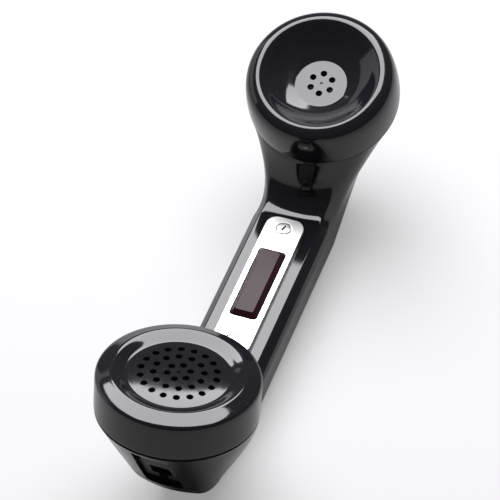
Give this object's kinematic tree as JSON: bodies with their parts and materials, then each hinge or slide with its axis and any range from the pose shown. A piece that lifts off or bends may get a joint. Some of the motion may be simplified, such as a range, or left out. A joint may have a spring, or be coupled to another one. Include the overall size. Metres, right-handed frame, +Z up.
{
  "type": "telephone handset",
  "caption": "Black telephone handset lying on its back, with a push-to-talk bar in its handle, screw-on ear and mouth caps, capsules, switch, leads and a modular cord socket.",
  "frame": {"origin": "on the surface that the handset rests on, under the middle of its outline", "axes": "+X along the handle towards the earpiece, +Y across it, +Z up, out of the handle's flat face"},
  "size_m": [0.2207, 0.06, 0.079],
  "materials": {
    "black_plastic": "polished moulding",
    "bar_plastic": "dark red-brown moulding",
    "bright_metal": "bright satin",
    "plated_steel": "zinc plated",
    "spring_bronze": "rolled strip",
    "gold_contact": "gold flashed",
    "capsule_alloy": "dull spun alloy",
    "magnet_iron": "dark sintered",
    "coil_copper": "enamelled copper winding",
    "brown_resin": "moulded resin",
    "ivory_film": "thin formed film",
    "grey_felt": "pressed felt",
    "red_sleeve": "wire sleeve",
    "white_sleeve": "wire sleeve",
    "green_sleeve": "wire sleeve",
    "yellow_sleeve": "wire sleeve",
    "black_sleeve": "wire sleeve"
  },
  "bodies": {
    "handset": {"handset_shell": "black_plastic", "cord_socket": "black_plastic", "microswitch_case": "black_plastic", "switch_plate": "bright_metal", "plate_screw_front": "bright_metal", "plate_screw_rear": "bright_metal", "switch_bracket": "plated_steel", "return_spring_front": "plated_steel", "return_spring_rear": "plated_steel", "cup_screw_left": "plated_steel", "cup_screw_right": "plated_steel", "receiver_pole": "plated_steel", "receiver_screw_left": "plated_steel", "receiver_screw_right": "plated_steel", "contact_spring_centre": "spring_bronze", "contact_spring_rim": "spring_bronze", "transmitter_rear_contact": "gold_contact", "switch_terminal_common": "gold_contact", "switch_terminal_open": "gold_contact", "switch_terminal_closed": "gold_contact", "socket_contact_1": "gold_contact", "socket_contact_2": "gold_contact", "socket_contact_3": "gold_contact", "socket_contact_4": "gold_contact", "transmitter_case": "capsule_alloy", "transmitter_front_plate": "capsule_alloy", "receiver_case": "capsule_alloy", "receiver_grid": "capsule_alloy", "receiver_clamp_ring": "capsule_alloy", "carbon_chamber": "magnet_iron", "receiver_magnet": "magnet_iron", "receiver_coil": "coil_copper", "contact_cup": "brown_resin", "transmitter_rear_insulator": "brown_resin", "receiver_terminal_block": "brown_resin", "receiver_varistor": "brown_resin", "transmitter_diaphragm": "ivory_film", "receiver_diaphragm": "ivory_film", "handle_damper": "grey_felt", "lead_receiver_red": "red_sleeve", "lead_receiver_white": "white_sleeve", "lead_transmitter_green": "green_sleeve", "lead_switch_yellow": "yellow_sleeve", "lead_switch_black": "black_sleeve"},
    "talk_bar": {"talk_bar": "bar_plastic"},
    "switch_plunger": {"microswitch_plunger": "bar_plastic"},
    "mouth_cap_rise": {"transmitter_washer": "grey_felt"},
    "mouth_cap": {"transmitter_cap": "black_plastic"},
    "ear_cap_rise": {"receiver_washer": "grey_felt"},
    "ear_cap": {"receiver_cap": "black_plastic"}
  },
  "joints": [
    {"name": "talk_press", "type": "slide", "parent": "handset", "child": "talk_bar", "axis": [0, 0, -1], "range_m": [0, 0.0015], "stiffness_N_per_m": 600, "springref_m": -0.002, "deforming": ["return_spring_front", "return_spring_rear"]},
    {"name": "plunger_press", "type": "slide", "parent": "handset", "child": "switch_plunger", "axis": [0, 0, -1], "range_m": [0, 0.0015], "stiffness_N_per_m": 150, "springref_m": -0.002},
    {"name": "mouth_cap_lift", "type": "slide", "parent": "handset", "child": "mouth_cap_rise", "axis": [0.2198, 0, 0.9755], "range_m": [0, 0.006]},
    {"name": "mouth_cap_turn", "type": "hinge", "parent": "mouth_cap_rise", "child": "mouth_cap", "pos_m": [-0.08117, 0, 0.05155], "axis": [0.2198, 0, 0.9755], "range_deg": [0, 1080]},
    {"name": "ear_cap_lift", "type": "slide", "parent": "handset", "child": "ear_cap_rise", "axis": [-0.3007, 0, 0.9537], "range_m": [0, 0.004]},
    {"name": "ear_cap_turn", "type": "hinge", "parent": "ear_cap_rise", "child": "ear_cap", "pos_m": [0.08179, 0, 0.05402], "axis": [-0.3007, 0, 0.9537], "range_deg": [0, 720]}
  ],
  "couplings": [
    {"joint": "plunger_press", "follows": "talk_press", "ratio": 1},
    {"joint": "mouth_cap_lift", "follows": "mouth_cap_turn", "m_per_rad": 0.00031831},
    {"joint": "ear_cap_lift", "follows": "ear_cap_turn", "m_per_rad": 0.00031831}
  ]
}
